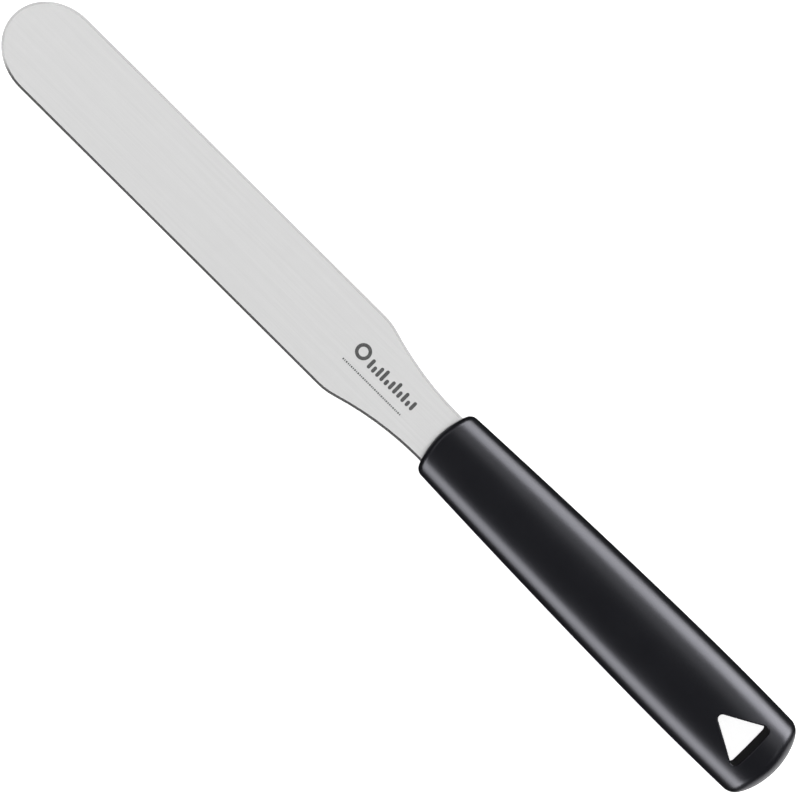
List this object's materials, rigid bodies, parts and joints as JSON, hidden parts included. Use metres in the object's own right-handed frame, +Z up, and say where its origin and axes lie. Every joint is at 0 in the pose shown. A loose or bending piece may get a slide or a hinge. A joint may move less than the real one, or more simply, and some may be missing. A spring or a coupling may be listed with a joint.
{
  "type": "icing spatula",
  "caption": "Straight icing spatula with a flexible round-tipped steel blade and a black moulded handle with a triangular hanging hole.",
  "frame": {"origin": "under the middle of the tool's length, level with the handle's lowest line, so the handle lies on Z = 0", "axes": "+X along the tool from the blade's tip to the handle's butt, +Y across the blade, +Z up, square to the blade's face"},
  "size_m": [0.334, 0.0306, 0.019],
  "materials": {
    "steel": "satin",
    "core_plastic": "matt",
    "grip_plastic": "satin",
    "printed_mark": "matt"
  },
  "bodies": {
    "root": {"blade": "steel", "handle_core": "core_plastic", "handle_grip": "grip_plastic"}
  },
  "joints": []
}
